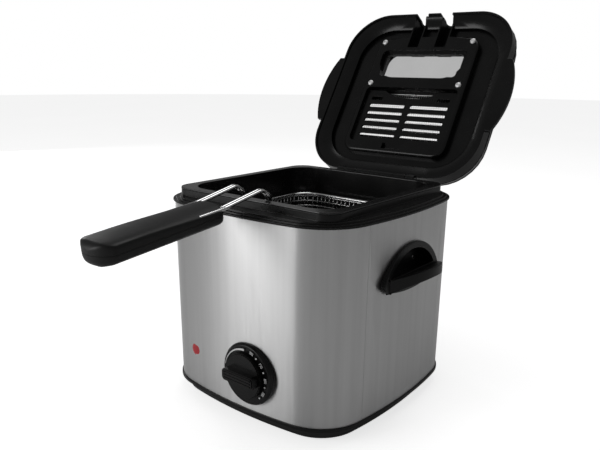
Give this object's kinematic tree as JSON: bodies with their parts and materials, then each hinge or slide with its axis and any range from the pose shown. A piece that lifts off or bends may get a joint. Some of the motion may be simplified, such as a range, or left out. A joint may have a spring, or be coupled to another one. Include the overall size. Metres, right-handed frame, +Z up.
{
  "type": "deep fryer",
  "caption": "Compact household deep fryer: brushed steel body on a dark base, square oil pot, wire basket with a hook-over handle, dial, and a hinged lid with a window and filter cover.",
  "frame": {"origin": "middle of the object's footprint box, on the surface that the feet stand on, with the lid open and the handle out", "axes": "+X to the right seen from the dial side, +Y from the dial towards the lid hinge, +Z up"},
  "size_m": [0.2506, 0.4574, 0.3441],
  "materials": {
    "rubber": "matt",
    "black_plastic": "fine grained, slightly glossy",
    "brushed_stainless": "brushed upright",
    "coated_metal": "smooth non-stick coating",
    "heater_sheath": "dull heat-darkened sheath",
    "plated_steel": "bright plated",
    "aluminised_steel": "mill finish",
    "chrome_wire": "bright chrome",
    "ceramic_white": "ivory moulding",
    "red_lens": "glossy, clear red",
    "lamp_glass": "clear glass",
    "window_glass": "clear",
    "filter_screen": "fine wire mesh",
    "wire_sleeve": "matt sleeve"
  },
  "bodies": {
    "main_body": {"rubber_feet": "rubber", "base_pan": "black_plastic", "base_screws": "plated_steel", "wrap_front": "brushed_stainless", "wrap_back": "brushed_stainless", "wrap_left": "brushed_stainless", "wrap_right": "brushed_stainless", "top_collar": "black_plastic", "oil_pot": "coated_metal", "heating_element": "heater_sheath", "element_clamp": "plated_steel", "clamp_nut": "plated_steel", "heat_shield": "aluminised_steel", "shield_legs": "plated_steel", "thermostat_body": "ceramic_white", "dial_bezel": "black_plastic", "indicator_lens": "red_lens", "indicator_lamp": "lamp_glass", "thermal_fuse": "ceramic_white", "terminal_block": "ceramic_white", "internal_leads": "wire_sleeve", "cord_gland": "rubber", "side_handle_left": "black_plastic", "side_handle_right": "black_plastic", "side_handle_screws": "plated_steel", "hinge_pin": "plated_steel"},
    "lid": {"lid_shell": "black_plastic", "lid_liner": "black_plastic", "lid_window": "window_glass", "window_gasket": "rubber", "filter_mesh": "filter_screen", "lid_screws": "plated_steel"},
    "filter_door": {"filter_cover": "black_plastic"},
    "basket_frame": {"basket_floor": "chrome_wire", "basket_wall_front": "chrome_wire", "basket_wall_back": "chrome_wire", "basket_wall_left": "chrome_wire", "basket_wall_right": "chrome_wire", "basket_rim_wire": "chrome_wire", "basket_bracket": "chrome_wire"},
    "handle": {"handle_wires": "chrome_wire", "grip_upper": "black_plastic", "grip_lower": "black_plastic", "grip_screws": "plated_steel"},
    "knob": {"control_knob": "black_plastic", "thermostat_shaft": "plated_steel"}
  },
  "joints": [
    {"name": "lid_hinge", "type": "hinge", "parent": "main_body", "child": "lid", "pos_m": [0, 0.10296, 0.1828], "axis": [-1, 0, 0], "range_deg": [-122, 0]},
    {"name": "cover_swing", "type": "hinge", "parent": "lid", "child": "filter_door", "pos_m": [0, 0.16886, 0.26204], "axis": [-1, 0, 0], "range_deg": [0, 65]},
    {"name": "basket_lift", "type": "slide", "parent": "main_body", "child": "basket_frame", "axis": [0, 0, 1], "range_m": [0, 0.19]},
    {"name": "handle_fold", "type": "hinge", "parent": "basket_frame", "child": "handle", "pos_m": [0, -0.0723, 0.1653], "axis": [-1, 0, 0], "range_deg": [0, 80]},
    {"name": "knob_turn", "type": "hinge", "parent": "main_body", "child": "knob", "pos_m": [0.017, -0.10397, 0.0475], "axis": [0, 1, 0], "range_deg": [0, 240]}
  ]
}
